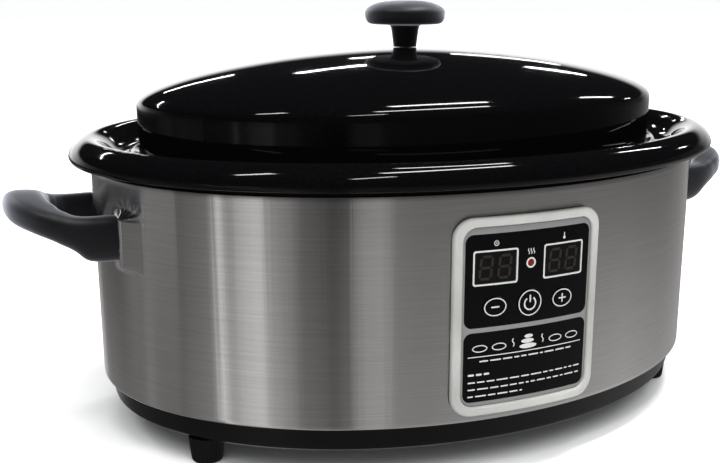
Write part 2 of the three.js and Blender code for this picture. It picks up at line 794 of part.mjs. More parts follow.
addPart('panel_bezel', panelBezel(), bezelPlastic);
addPart('panel_overlay', panelOverlay(), overlayFilm);
for (const [name, outline] of keyOutlines(0)) addPart(name, panelKey(outline), overlayFilm);
addPart('display_left', display(-WINDOW_X), displayLens);
addPart('display_right', display(WINDOW_X), displayLens);
addPart('heat_led', heatLed(), redLens);
addPart('tact_switch_minus', tactSwitch(-SIDE_KEY_X), blackPlastic);
addPart('tact_switch_power', tactSwitch(0), blackPlastic);
addPart('tact_switch_plus', tactSwitch(SIDE_KEY_X), blackPlastic);
addPart('control_board', controlBoard(), boardGreen);
addPart('control_box', controlBox(), blackPlastic);

addPart('mains_inlet', mainsInlet(), blackPlastic);
addPart('inlet_screw_left', inletScrew(-INLET_SCREW_X), zincSteel);
addPart('inlet_screw_right', inletScrew(INLET_SCREW_X), zincSteel);
electronics();
wiring();

addPart('stone_pan', stonePan(), blackEnamel);
addPart('lid', lid(), blackEnamel);
addPart('lid_knob', lidKnob(), blackPhenolic);
addPart('knob_washer', knobWasher(), zincSteel);
addPart('knob_screw', knobScrew(), zincSteel);

export default model;
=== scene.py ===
import json
import math
import bmesh
import bpy
import numpy as np
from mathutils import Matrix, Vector


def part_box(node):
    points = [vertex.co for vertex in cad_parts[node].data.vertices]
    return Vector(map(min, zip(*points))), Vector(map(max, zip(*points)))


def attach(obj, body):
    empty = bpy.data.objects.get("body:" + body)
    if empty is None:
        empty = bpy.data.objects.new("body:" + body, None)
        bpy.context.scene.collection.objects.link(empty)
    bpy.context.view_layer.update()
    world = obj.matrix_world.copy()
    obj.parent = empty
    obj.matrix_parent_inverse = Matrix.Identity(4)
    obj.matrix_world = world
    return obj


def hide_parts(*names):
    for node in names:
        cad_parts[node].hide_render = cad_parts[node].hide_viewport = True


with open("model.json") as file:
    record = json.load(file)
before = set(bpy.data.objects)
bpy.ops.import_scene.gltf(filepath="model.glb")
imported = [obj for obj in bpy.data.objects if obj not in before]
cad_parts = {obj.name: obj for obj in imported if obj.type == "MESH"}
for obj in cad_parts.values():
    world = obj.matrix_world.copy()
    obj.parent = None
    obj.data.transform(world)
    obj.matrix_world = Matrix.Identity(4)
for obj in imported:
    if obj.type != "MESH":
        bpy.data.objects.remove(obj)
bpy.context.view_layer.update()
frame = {"nodes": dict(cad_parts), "record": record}

# Lengths below are in millimetres and are scaled by MM when a mesh is made.
MM = 0.001


def node_box(name):
    """Lowest and highest corner of a CAD node, in millimetres."""
    low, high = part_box(name)
    return low / MM, high / MM


shell_low, shell_high = node_box("outer_shell")
SHELL_A = shell_high.x
SHELL_B = shell_high.y
OVAL_STEP = SHELL_A - SHELL_B
SHELL_BOTTOM = shell_low.z
SHELL_TOP = shell_high.z
RIM_A = node_box("stone_pan")[1].x
LID_A = node_box("lid")[1].x
LID_BOTTOM = node_box("lid")[0].z
LID_TOP = 206.2  # top of the dome, under the knob
LID_SHOULDER = 178.6  # where the dome meets the skirt
KNOB_UNDERSIDE = 219.1  # lower face of the knob's cap
OVAL_SEGMENTS = 288


# ------------------------------------------------------------------------------ camera

def add_camera():
    """A camera at the photograph's viewing angle, in metres and degrees."""
    data = bpy.data.cameras.new("camera")
    data.sensor_width = 36
    data.lens = 51.72
    data.shift_x = -0.0226
    data.shift_y = 0.0354
    data.clip_start = 0.01
    camera = bpy.data.objects.new("camera", data)
    camera.location = (-0.2749, -0.5540, 0.2391)
    camera.rotation_euler = (math.radians(90 - 14.52), 0, math.radians(-24.84))
    bpy.context.scene.collection.objects.link(camera)
    bpy.context.scene.camera = camera


# ----------------------------------------------------------------------- mesh building

def add_object(name, mesh, material):
    piece = bpy.data.objects.new(name, mesh)
    bpy.context.scene.collection.objects.link(piece)
    mesh.materials.clear()
    mesh.materials.append(material)
    return piece


def finish_mesh(mesh, sharp_angle=35):
    """Merge doubles, face everything outwards and shade it smooth up to an angle."""
    work = bmesh.new()
    work.from_mesh(mesh)
    bmesh.ops.remove_doubles(work, verts=work.verts, dist=1e-7)
    bmesh.ops.recalc_face_normals(work, faces=work.faces)
    work.to_mesh(mesh)
    work.free()
    mesh.shade_smooth()
    mesh.set_sharp_from_angle(angle=math.radians(sharp_angle))


def mesh_piece(name, points, faces, material, sharp_angle=35):
    mesh = bpy.data.meshes.new(name)
    mesh.from_pydata((np.asarray(points, float) * MM).tolist(), [], faces)
    finish_mesh(mesh, sharp_angle)
    return add_object(name, mesh, material)


def place(piece, body, slot, *replaced):
    """A piece rides on a body and stands for CAD nodes, which it hides. The slot argument is not used.
    """
    if replaced:
        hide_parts(*replaced)
    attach(piece, body)
    return piece


def smooth_line(points, steps):
    """Catmull-Rom curve through open points, with steps pieces between each two."""
    p = np.asarray(points, float)
    padded = np.vstack([2 * p[0] - p[1], p, 2 * p[-1] - p[-2]])
    t = np.linspace(0, 1, steps, endpoint=False)[:, None]
    rows = []
    for i in range(len(p) - 1):
        a, b, c, d = padded[i:i + 4]
        rows.append(0.5 * (2 * b + (c - a) * t + (2 * a - 5 * b + 4 * c - d) * t**2
                           + (3 * b - a - 3 * c + d) * t**3))
    return np.vstack(rows + [p[-1:]])


def sheet_profile(face, thickness, nose_steps=6):
    """Closed profile of a sheet under a face line, with a rounded free edge."""
    face = np.asarray(face, float)
    along = np.gradient(face, axis=0)
    along /= np.linalg.norm(along, axis=1)[:, None]
    normal = np.stack([along[:, 1], -along[:, 0]], axis=1)
    back = face + normal * thickness
    middle = face[-1] + normal[-1] * thickness / 2
    turn = np.linspace(0, math.pi, nose_steps + 2)[1:-1, None]
    nose = middle - normal[-1] * thickness / 2 * np.cos(turn) + along[-1] * thickness / 2 * np.sin(turn)
    if face[0, 0] == 0:
        back[0, 0] = 0
        return np.vstack([face, nose, back[::-1]]), False
    return np.vstack([face, nose, back[::-1]]), True


def ring_faces(rows, columns, closed_rows):
    faces = []
    last = rows if closed_rows else rows - 1
    for i in range(last):
        j = (i + 1) % rows
        for k in range(columns):
            m = (k + 1) % columns
            faces.append((i * columns + k, i * columns + m, j * columns + m, j * columns + k))
    return faces


def lathe_points(profile, segments):
    """Turns a profile; segments is a count, or the angles themselves."""
    turn = segments
    if np.isscalar(segments):
        turn = np.linspace(0, 2 * math.pi, segments, endpoint=False)
    r = profile[:, 0][:, None]
    x = r * np.cos(turn)
    y = r * np.sin(turn)
    z = np.repeat(profile[:, 1][:, None], len(turn), axis=1)
    return np.stack([x, y, z], axis=2)


def oval_points(profile, core=150, segments=OVAL_SEGMENTS):
    """The housing's oval: half widths are OVAL_STEP shorter than half lengths outside
    the core half length, and shrink in proportion inside it."""
    grid = lathe_points(np.asarray(profile, float), segments)
    r = np.asarray(profile, float)[:, 0][:, None]
    narrowing = OVAL_STEP * np.minimum(1, r / core)
    squeeze = np.where(r > 0, (r - narrowing) / np.maximum(r, 1e-9), 1)
    grid[:, :, 1] *= squeeze
    return grid


def grid_piece(name, grid, closed_rows, material, sharp_angle=35):
    rows, columns = grid.shape[:2]
    faces = ring_faces(rows, columns, closed_rows)
    return mesh_piece(name, grid.reshape(-1, 3), faces, material, sharp_angle)


def oval_piece(name, profile, closed_rows, material, core=150, sharp_angle=35):
    return grid_piece(name, oval_points(profile, core), closed_rows, material, sharp_angle)


def turned_piece(name, profile, material, segments=128):
    grid = lathe_points(np.asarray(profile, float), segments)
    return grid_piece(name, grid, False, material)


# -------------------------------------------------- plates that follow the shell's wall

BEND_STEP = 2.0  # a plate is cut into strips this wide before it is bent


def shell_y(x, offset):
    """Distance of the wall from the long axis, at x and an offset out of the shell."""
    return (SHELL_B + offset) * np.sqrt(1 - (x / (SHELL_A + offset)) ** 2)


def wall_plate(name, loops, inner, outer, material, bevel=0.0):
    """A plate with outlines in X and Z, filled between alternate loops, bent round the
    front wall between two offsets."""
    curve = bpy.data.curves.new(name, "CURVE")
    curve.dimensions = "2D"
    curve.fill_mode = "BOTH"
    curve.extrude = (outer - inner) / 2 - bevel
    curve.bevel_depth = bevel
    curve.bevel_resolution = 3
    curve.offset = -bevel
    for loop in loops:
        spline = curve.splines.new("POLY")
        spline.points.add(len(loop) - 1)
        for point, (x, z) in zip(spline.points, loop):
            point.co = (x, z, 0, 1)
        spline.use_cyclic_u = True
    holder = bpy.data.objects.new(name, curve)
    bpy.context.scene.collection.objects.link(holder)
    evaluated = holder.evaluated_get(bpy.context.evaluated_depsgraph_get())
    mesh = bpy.data.meshes.new_from_object(evaluated)
    bpy.data.objects.remove(holder)
    work = bmesh.new()
    work.from_mesh(mesh)
    bmesh.ops.remove_doubles(work, verts=work.verts, dist=1e-4)
    low = min(v.co.x for v in work.verts)
    high = max(v.co.x for v in work.verts)
    for cut in np.arange(math.ceil(low / BEND_STEP) * BEND_STEP, high, BEND_STEP):
        everything = work.verts[:] + work.edges[:] + work.faces[:]
        bmesh.ops.bisect_plane(work, geom=everything, plane_co=(cut, 0, 0), plane_no=(1, 0, 0))
    middle = (inner + outer) / 2
    for v in work.verts:
        x, z, depth = v.co
        v.co = Vector((x, -shell_y(x, middle + depth), z)) * MM
    bmesh.ops.recalc_face_normals(work, faces=work.faces)
    work.to_mesh(mesh)
    work.free()
    mesh.shade_smooth()
    mesh.set_sharp_from_angle(angle=math.radians(30))
    return add_object(name, mesh, material)


def arc(x, z, radius_x, radius_z, start, stop, steps):
    turn = np.radians(np.linspace(start, stop, steps + 1))
    return [(x + radius_x * math.cos(t), z + radius_z * math.sin(t)) for t in turn]


def oval_loop(x, z, radius_x, radius_z=None, steps=40):
    return arc(x, z, radius_x, radius_z or radius_x, 0, 360, steps)[:-1]


def round_box(x, z, width, height, radius, steps=8):
    half_x = width / 2 - radius
    half_z = height / 2 - radius
    loop = []
    for sx, sz, start in [(1, -1, -90), (1, 1, 0), (-1, 1, 90), (-1, -1, 180)]:
        loop += arc(x + sx * half_x, z + sz * half_z, radius, radius, start, start + 90, steps)
    return loop


def stroke(points, width):
    """Closed outline round an open line of points."""
    p = np.asarray(points, float)
    along = np.gradient(p, axis=0)
    along /= np.linalg.norm(along, axis=1)[:, None]
    normal = np.stack([-along[:, 1], along[:, 0]], axis=1) * width / 2
    return [tuple(q) for q in np.vstack([p + normal, (p - normal)[::-1]])]


# --------------------------------------------------------------------------- materials

class Surface:
    """A procedural material: a principled shader with texture detail on it."""

    def __init__(self, name, color, roughness, metallic=0.0):
        self.material = bpy.data.materials.new(name)
        self.material.use_nodes = True
        self.tree = self.material.node_tree
        self.shader = self.tree.nodes["Principled BSDF"]
        self.set(Metallic=metallic, Roughness=roughness)
        self.shader.inputs["Base Color"].default_value = (*color, 1)
        self.height = None

    def set(self, **values):
        for key, value in values.items():
            self.shader.inputs[key.replace("_", " ")].default_value = value

    def node(self, kind, **settings):
        made = self.tree.nodes.new(kind)
        for key, value in settings.items():
            setattr(made, key, value)
        return made

    def link(self, source, target):
        self.tree.links.new(source, target)

    def noise(self, scale, detail=4, stretch=(1, 1, 1), rough=0.5):
        """Noise over the object's own metres, stretched along its axes."""
        place_at = self.node("ShaderNodeTexCoord")
        mapping = self.node("ShaderNodeMapping")
        mapping.inputs["Scale"].default_value = stretch
        texture = self.node("ShaderNodeTexNoise")
        texture.inputs["Scale"].default_value = scale
        texture.inputs["Detail"].default_value = detail
        texture.inputs["Roughness"].default_value = rough
        self.link(place_at.outputs["Object"], mapping.inputs["Vector"])
        self.link(mapping.outputs["Vector"], texture.inputs["Vector"])
        return texture.outputs["Fac"]

    def remap(self, value, low, high, start=0.3, stop=0.7):
        spread = self.node("ShaderNodeMapRange")
        for key, amount in (("From Min", start), ("From Max", stop), ("To Min", low), ("To Max", high)):
            spread.inputs[key].default_value = amount
        self.link(value, spread.inputs["Value"])
        return spread.outputs["Result"]

    def vary_roughness(self, value, low, high):
        self.link(self.remap(value, low, high), self.shader.inputs["Roughness"])

    def vary_color(self, value, low, high):
        """Blend between two colours."""
        mix = self.node("ShaderNodeMix", data_type="RGBA")
        mix.inputs[6].default_value = (*low, 1)
        mix.inputs[7].default_value = (*high, 1)
        self.link(self.remap(value, 0, 1), mix.inputs[0])
        self.link(mix.outputs[2], self.shader.inputs["Base Color"])

    def bump(self, value, distance, strength=1.0):
        node = self.node("ShaderNodeBump")
        node.inputs["Distance"].default_value = distance
        node.inputs["Strength"].default_value = strength
        self.link(value, node.inputs["Height"])
        if self.height is not None:
            self.link(self.height, node.inputs["Normal"])
        self.height = node.outputs["Normal"]
        self.link(self.height, self.shader.inputs["Normal"])


def shade(color, factor):
    return tuple(c * factor for c in color)


def brushed_steel():
    """Sheet brushed round the body: fine level scratches that smear light upright."""
    s = Surface("brushed_steel", (0.56, 0.55, 0.53), 0.2, 1.0)
    s.set(Anisotropic=1.0, Anisotropic_Rotation=0.25)
    tangent = s.node("ShaderNodeTangent", direction_type="RADIAL", axis="Z")
    s.link(tangent.outputs["Tangent"], s.shader.inputs["Tangent"])
    scratches = s.noise(1.0, 3, (10, 10, 2800), 0.65)
    brushing = s.noise(1.0, 5, (16, 16, 1100), 0.8)
    stain = s.noise(14, 5)
    ripple = s.noise(1.0, 3, (110, 110, 1.5), 0.6)
    s.vary_color(brushing, (0.515, 0.505, 0.497), (0.61, 0.603, 0.597))
    s.vary_roughness(stain, 0.17, 0.20)
    s.bump(ripple, 0.00006)
    s.bump(scratches, 0.000003)
    return s.material


def black_enamel():
    s = Surface("black_enamel", (0.0015, 0.0015, 0.0016), 0.05)
    s.set(Specular_IOR_Level=0.11)
    flow = s.noise(34, 2)
    peel = s.noise(420, 2)
    specks = s.noise(900, 2)
    s.vary_color(specks, (0.001, 0.001, 0.0011), (0.002, 0.002, 0.0023))
    s.vary_roughness(flow, 0.035, 0.065)
    s.bump(flow, 0.00002)
    s.bump(peel, 0.0000025)
    return s.material


def satin_plastic(name, color, roughness, grain=1400, depth=0.00003, gloss=0.5):
    """Moulded plastic with a fine grain and faint patches of wear."""
    s = Surface(name, color, roughness)
    s.set(Specular_IOR_Level=gloss)
    fine = s.noise(grain, 3)
    patches = s.noise(26, 4)
    s.vary_color(patches, shade(color, 0.85), shade(color, 1.18))
    s.vary_roughness(patches, roughness - 0.05, roughness + 0.05)
    s.bump(fine, depth)
    return s.material


def black_phenolic():
    """Matt heat-proof moulding with a powdery sheen on the surfaces seen at a slant."""
    s = Surface("black_phenolic", (0.0018, 0.0018, 0.0022), 0.42)
    s.set(Specular_IOR_Level=0.22, Sheen_Weight=0.65, Sheen_Roughness=0.4)
    s.shader.inputs["Sheen Tint"].default_value = (0.86, 0.89, 1.0, 1)
    grain = s.noise(900, 3)
    pores = s.noise(2600, 2)
    patches = s.noise(30, 4)
    s.vary_color(patches, (0.0012, 0.0012, 0.0015), (0.0024, 0.0024, 0.0030))
    s.vary_roughness(patches, 0.38, 0.48)
    s.bump(grain, 0.00005)
    s.bump(pores, 0.00002)
    return s.material


def gloss_plastic(name, color, roughness=0.12):
    s = Surface(name, color, roughness)
    s.set(Specular_IOR_Level=0.12)
    haze = s.noise(60, 3)
    s.vary_color(haze, shade(color, 0.92), shade(color, 1.08))
    s.vary_roughness(haze, roughness * 0.8, roughness * 1.25)
    s.bump(haze, 0.00001)
    return s.material


def printed_ink(name, color, roughness=0.35):
    s = Surface(name, color, roughness)
    screen = s.noise(2400, 2)
    s.vary_color(screen, shade(color, 0.9), shade(color, 1.06))
    s.bump(screen, 0.00001)
    return s.material


def rolled_metal(name, color, roughness, stretch=(40, 40, 900)):
    """Plain sheet or turned metal with rolling marks and a little staining."""
    s = Surface(name, color, roughness, 1.0)
    marks = s.noise(1.0, 3, stretch)
    stain = s.noise(18, 5)
    s.vary_color(stain, shade(color, 0.86), color)
    s.vary_roughness(marks, roughness - 0.08, roughness + 0.1)
    s.bump(marks, 0.00002)
    return s.material


def glass_wool():
    s = Surface("glass_wool", (0.76, 0.72, 0.58), 0.95)
    strands = s.noise(1.0, 6, (500, 160, 900), 0.7)
    s.vary_color(strands, (0.60, 0.55, 0.40), (0.88, 0.85, 0.74))
    s.bump(strands, 0.0006)
    return s.material


def heater_silicone():
    s = Surface("heater_silicone", (0.42, 0.13, 0.06), 0.75)
    weave = s.node("ShaderNodeTexWave", wave_type="BANDS", bands_direction="Z")
    weave.inputs["Scale"].default_value = 120
    place_at = s.node("ShaderNodeTexCoord")
    s.link(place_at.outputs["Object"], weave.inputs["Vector"])
    s.vary_color(s.noise(70), (0.34, 0.10, 0.045), (0.50, 0.17, 0.08))
    s.bump(weave.outputs["Fac"], 0.0003)
    return s.material


def circuit_board():
    s = Surface("board_green", (0.02, 0.16, 0.07), 0.35)
    tracks = s.node("ShaderNodeTexBrick", offset=0.5)
    tracks.inputs["Scale"].default_value = 260
    tracks.inputs["Color1"].default_value = (0.02, 0.15, 0.06, 1)
    tracks.inputs["Color2"].default_value = (0.03, 0.20, 0.09, 1)
    tracks.inputs["Mortar"].default_value = (0.05, 0.27, 0.12, 1)
    place_at = s.node("ShaderNodeTexCoord")
    s.link(place_at.outputs["Object"], tracks.inputs["Vector"])
    s.link(tracks.outputs["Color"], s.shader.inputs["Base Color"])
    s.bump(tracks.outputs["Fac"], 0.00004)
    return s.material


def make_materials():
    """One material for each slot in the record, and the extra inks of the print."""
    return {
        "brushed_steel": brushed_steel(),
        "black_enamel": black_enamel(),
        "black_phenolic": black_phenolic(),
        "black_plastic": satin_plastic("black_plastic", (0.002, 0.002, 0.0022), 0.36, gloss=0.13),
        "aluminium_sheet": rolled_metal("aluminium_sheet", (0.74, 0.75, 0.76), 0.34),
        "heater_silicone": heater_silicone(),
        "glass_wool": glass_wool(),
        "zinc_steel": rolled_metal("zinc_steel", (0.62, 0.63, 0.65), 0.3, (300, 300, 300)),
        "foot_rubber": satin_plastic("foot_rubber", (0.004, 0.004, 0.004), 0.6, 700, 0.0001, gloss=0.1),
        "bezel_plastic": satin_plastic("bezel_plastic", (0.345, 0.345, 0.328), 0.38, 1500, 0.00002),
        "overlay_film": gloss_plastic("overlay_film", (0.0015, 0.0016, 0.0017), 0.22),
        "display_lens": gloss_plastic("display_lens", (0.0045, 0.0038, 0.0033), 0.10),
        "red_lens": gloss_plastic("red_lens", (0.16, 0.010, 0.008), 0.12),
        "board_green": circuit_board(),
        "relay_blue": satin_plastic("relay_blue", (0.03, 0.12, 0.42), 0.4),
        "ceramic_white": satin_plastic("ceramic_white", (0.78, 0.75, 0.68), 0.55),
        "lead_red": satin_plastic("lead_red", (0.38, 0.03, 0.025), 0.5),
        "lead_grey": satin_plastic("lead_grey", (0.28, 0.28, 0.28), 0.5),
        "border_grey": printed_ink("border_grey", (0.17, 0.172, 0.169)),
        "ink_white": printed_ink("ink_white", (0.48, 0.48, 0.465)),
        "segment_grey": printed_ink("segment_grey", (0.012, 0.0105, 0.010), 0.3),
    }


# ------------------------------------------------------------------- housing and shells

# The flat seats pressed out of the shell behind the handle prongs.
SEAT_X = 180
SEAT_EDGE_Y = 41
SEAT_FOOT_Y = 51
SEAT_LOW = 99
SEAT_HIGH = 131.5
# Creases fan out from the top outer corner of each seat, at these angles up from level.
CREASE_Y = 41
CREASE_Z = 127
CREASE_ANGLES = (18, 46, 74, 104, 134)


def smooth_step(value):
    t = np.clip(value, 0, 1)
    return t * t * (3 - 2 * t)


def oval_x(y):
    return SHELL_A * np.sqrt(1 - (y / SHELL_B) ** 2)


def creases(y, z):
    """Height of the small folds that the press leaves in the sheet."""
    across, up = np.abs(y) - CREASE_Y, z - CREASE_Z
    reach = np.hypot(across, up)
    angle = np.degrees(np.arctan2(up, across))
    fans = sum(np.exp(-((angle - a) / 7) ** 2) for a in CREASE_ANGLES) - 0.5
    near = np.clip((reach - 1) / 2.5, 0, 1) * np.clip((12 - reach) / 7, 0, 1)
    fan_zone = smooth_step((angle + 8) / 15) * smooth_step((158 - angle) / 15)
    return 0.6 * fans * near * fan_zone


def seat_rise(y, z):
    """How far the sheet stands off the oval at the pressed seats."""
    across = np.minimum(np.abs(y), SEAT_FOOT_Y)
    ends = [0, SEAT_EDGE_Y - 1.2, SEAT_EDGE_Y + 0.8, SEAT_FOOT_Y]
    face = np.interp(across, ends, [SEAT_X, SEAT_X, SEAT_X - 1.3, oval_x(SEAT_FOOT_Y)])
    rise = np.clip(face - oval_x(across), 0, None)
    return rise * smooth_step((z - SEAT_LOW + 1) / 5) * smooth_step((SEAT_HIGH + 1 - z) / 6)


def shell_turns():
    """Angles round the shell, close together where the seats and creases are."""
    fine, coarse = np.arange(3.5, 28, 0.25), np.arange(28, 90, 1.0)
    quarter = np.concatenate([np.arange(0, 3.5, 0.7), fine, coarse])
    half = np.concatenate([quarter, 180 - quarter[::-1]])
    half = half[half < 180]
    half = np.insert(half, np.searchsorted(half, 90), 90)
    return np.radians(np.concatenate([half, half + 180]))


def outer_shell(material):
    """Steel wrap with a turned-in top edge, a rolled hem and seats for the handles."""
    wall = 1.0
    hem = [
        (SHELL_A - 1.8, SHELL_BOTTOM + 3.0),
        (SHELL_A - 1.8, SHELL_BOTTOM + 0.8),
        (SHELL_A - 1.2, SHELL_BOTTOM + 0.1),
        (SHELL_A - 0.5, SHELL_BOTTOM),
        (SHELL_A - 0.1, SHELL_BOTTOM + 0.5),
        (SHELL_A, SHELL_BOTTOM + 1.2),
        (SHELL_A, SHELL_BOTTOM + 2.2),
    ]
    heights = [
        np.arange(SHELL_BOTTOM + 3.2, SEAT_LOW - 3, 2.5),
        np.arange(SEAT_LOW - 3, SEAT_HIGH + 10, 0.6),
        [SHELL_TOP - 3, SHELL_TOP - 1.2],
    ]
    rise = [(SHELL_A, z) for z in np.concatenate(heights)]
    top = [
        (SHELL_A - 0.15, SHELL_TOP - 0.4),
        (SHELL_A - 0.5, SHELL_TOP),
        (SHELL_A - wall, SHELL_TOP - 0.2),
    ]
    inside = [(SHELL_A - wall, SHELL_TOP - 2), (SHELL_A - wall, SHELL_BOTTOM + 4)]
    grid = oval_points(hem + rise + top + inside, segments=shell_turns())
    x, y, z = grid[..., 0], grid[..., 1], grid[..., 2]
    outside = np.zeros(grid.shape[:2], bool)
    outside[len(hem):len(hem) + len(rise)] = True
    pressed = np.where(outside & (np.abs(x) > SHELL_A / 2), seat_rise(y, z) + creases(y, z), 0)
    grid[..., 0] += np.sign(x) * pressed
    piece = grid_piece("steel_shell", grid, True, material["brushed_steel"], 28)
    place(piece, "housing", "brushed_steel", "outer_shell")


def top_collar(material):
    """Moulded ring inside the shell's top edge, with a ledge under the pan's rim."""
    bottom, top = node_box("top_collar")
    outer, low, high = top.x, bottom.z, top.z
    wall = 2.6
    profile = [
        (outer - wall, low), (outer - 0.5, low), (outer, low + 0.5), (outer, high - 1.4),
        (outer - 0.4, high - 0.5), (outer - 1.2, high), (outer - 2.0, high - 0.1),
        (outer - wall, high - 0.7), (outer - wall, 149.2), (162.5, 149.2), (160.8, 148.8),
        (160.5, 148.2), (160.8, 147.5), (162, 147.2), (outer - wall, 147.2),
    ]
    piece = oval_piece("collar_ring", profile, True, material["black_plastic"])
    place(piece, "housing", "black_plastic", "top_collar")


def liner_well(material):
    """Sheet well that the pan hangs in, with a flange over the collar's ledge."""
    face = smooth_line([(0, 52.5), (120, 52.5), (136, 53), (146, 57.5), (151, 65), (153.5, 76)], 5)
    upper = [(155.5, 108), (157.2, 143), (158, 145), (160, 146), (178.4, 146.8)]
    profile, closed_rows = sheet_profile(np.vstack([face, upper]), 1.0, 3)
    piece = oval_piece("well_liner", profile, closed_rows, material["aluminium_sheet"])
    place(piece, "housing", "aluminium_sheet", "liner_well")


def base_pan(material):
    """Moulded tray under the shell, with a rounded lower edge and a floor recess."""
    floor = node_box("base_pan")[0].z
    outer = [
        (0, floor + 1.2), (120, floor + 1.2), (124, floor + 1.0), (126, floor), (172.5, floor),
        (175.6, floor + 0.5), (177.4, floor + 1.8), (178.1, floor + 4), (179.0, SHELL_BOTTOM - 2.2),
        (179.6, SHELL_BOTTOM - 0.6), (180.3, SHELL_BOTTOM + 0.4), (180.4, SHELL_BOTTOM + 11),
    ]
    inner = [
        (178, SHELL_BOTTOM + 12), (177.9, SHELL_BOTTOM), (175, floor + 5), (171, floor + 2.6),
        (0, floor + 2.6),
    ]
    piece = oval_piece("base_tray", outer + inner, False, material["black_plastic"])
    place(piece, "housing", "black_plastic", "base_pan")
    add_vents(material, floor)


def add_vents(material, floor):
    """Raised louvre bars on the underside."""
    section = ((-1, 1.1), (-0.6, 0.2), (0.6, 0.2), (1, 1.1))
    faces = [(0, 1, 3, 2), (2, 3, 5, 4), (4, 5, 7, 6), (6, 7, 1, 0), (0, 2, 4, 6), (1, 7, 5, 3)]
    for side in (-1, 1):
        for i in range(5):
            x = side * (34 + 12 * i)
            bar = [(x + 1.6 * across, y, floor + lift) for across, lift in section for y in (-24, 24)]
            name = f"vent_bar_{'lr'[side > 0]}{i + 1}"
            piece = mesh_piece(name, bar, faces, material["black_plastic"], 20)
            place(piece, "housing", "black_plastic")


def feet(material):
    """Tapered rubber feet with upright flutes and a recess for the screw."""
    for i in range(1, 5):
        low, high = node_box(f"foot_{i}")
        middle = (low + high) / 2
        top_radius = (high.x - low.x) / 2
        tip_radius = top_radius - 1.25
        profile = [
            (4.6, 6), (4.6, 0.6), (4.9, 0.1), (5.3, 0), (tip_radius - 1.4, 0), (tip_radius - 0.5, 0.3),
            (tip_radius - 0.05, 1.2), (tip_radius + 0.1, 2), (top_radius - 0.15, high.z - 2.4),
            (top_radius, high.z - 1.6), (top_radius, high.z), (2.2, high.z), (2.2, 6),
        ]
        fluted_rows = slice(7, 9)
        grid = lathe_points(np.asarray(profile, float), 144)
        turn = np.arctan2(grid[..., 1], grid[..., 0])
        fluted = np.zeros(grid.shape[:2])
        fluted[fluted_rows] = 1
        factor = 1 - 0.05 * fluted * (0.5 + 0.5 * np.cos(24 * turn)) ** 2
        grid[..., 0] = grid[..., 0] * factor + middle.x
        grid[..., 1] = grid[..., 1] * factor + middle.y
        piece = grid_piece(f"rubber_foot_{i}", grid, True, material["foot_rubber"])
        place(piece, "housing", "foot_rubber", f"foot_{i}")


# -------------------------------------------------------------------------- pan and lid

def stone_pan(material):
    """Deep enamelled pan with a gutter for the lid and a broad rolled rim."""
    bowl = smooth_line([(0, 60), (112, 60), (130, 60.6), (140, 64), (145.8, 70.5), (148.2, 80)], 6)[:-1]
    wall = [(148.2, 80), (149.9, 106), (152.0, 146.5)]
    rim = smooth_line([
        (152.2, 147.6), (153.6, 150.7), (157.4, 152.0), (160.6, 153.0), (163.2, 152.2), (167, 151.8),
        (171.5, 153.8), (176.6, 158.6), (180.4, 161.0), (184.2, 161.5), (188.0, 160.2), (191.6, 157.4),
        (193.8, 154.4), (RIM_A, 151.8), (193.7, 149.9),
    ], 5)
    face = np.vstack([bowl, wall, rim])
    face[:, 0] = np.minimum(face[:, 0], RIM_A)
    profile, closed_rows = sheet_profile(face, 2.0)
    piece = oval_piece("enamel_pan", profile, closed_rows, material["black_enamel"], sharp_angle=50)
    place(piece, "pan", "black_enamel", "stone_pan")


def dome_height(share):
    """Height of the dome at a share of the lid's half length."""
    return LID_SHOULDER + (LID_TOP - LID_SHOULDER) * (1 - share**1.8) ** (1 / 1.62)


def lid(material):
    """Domed enamelled lid: a flattened dome, a soft shoulder and an upright skirt."""
    shares = 1 - (1 - np.linspace(0, 1, 46)) ** 1.9
    dome = [(LID_A * s * 0.9985, dome_height(s)) for s in shares[:-1]]
    skirt = [
        (LID_A - 0.12, LID_SHOULDER - 0.6), (LID_A, LID_SHOULDER - 2.2), (LID_A - 0.05, 168),
        (LID_A - 0.1, LID_BOTTOM + 2.2), (LID_A, LID_BOTTOM + 0.9),
    ]
    profile, closed_rows = sheet_profile(dome + skirt, 1.6)
    enamel = material["black_enamel"]
    piece = oval_piece("lid_dome", profile, closed_rows, enamel, core=LID_A, sharp_angle=50)
    place(piece, "lid", "black_enamel", "lid")


def lid_knob(material):
    """T-shaped knob: a waisted stem under a broad, low cap."""
    low, high = node_box("lid_knob")
    radius = high.x
    under = KNOB_UNDERSIDE
    stem = smooth_line([
        (6.75, low.z), (6.8, low.z + 1), (7.3, low.z + 5), (8.0, under - 2.4), (8.5, under - 0.9),
        (10.0, under - 0.1), (14, under + 0.1),
    ], 4)
    rim = smooth_line([
        (19, under + 0.35), (21.2, under + 1.0), (22.7, under + 3.0), (radius, under + 6.0),
        (22.9, under + 8.2), (21.0, under + 10.0), (17.0, under + 11.9), (11.0, under + 13.2),
        (5, high.z - 0.1), (0, high.z),
    ], 6)
    profile = np.vstack([[(0, low.z)], stem, rim])
    profile[:, 0] = np.minimum(profile[:, 0], radius)
    profile[:, 1] = np.minimum(profile[:, 1], high.z)
    piece = turned_piece("knob_handle", profile, material["black_phenolic"])
    place(piece, "lid", "black_phenolic", "lid_knob")


# ------------------------------------------------------------------------------ handles

# Half a handle, from the shell to its middle: x, y, z, half width, half height.
HANDLE_STATIONS = [
    (174.0, -33.6, 116.5, 6.8, 11.7),
    (182.0, -33.6, 116.6, 6.8, 11.8),
    (189.0, -33.5, 116.7, 6.9, 11.7),
    (195.0, -33.2, 117.6, 7.1, 11.0),
    (200.0, -32.1, 120.3, 7.5, 8.9),
    (205.5, -29.7, 123.0, 8.1, 8.0),
    (212.4, -24.4, 126.4, 9.4, 7.5),
    (218.0, -13.4, 128.9, 10.6, 7.6),
    (219.4, 0.0, 129.9, 10.75, 7.85),
]


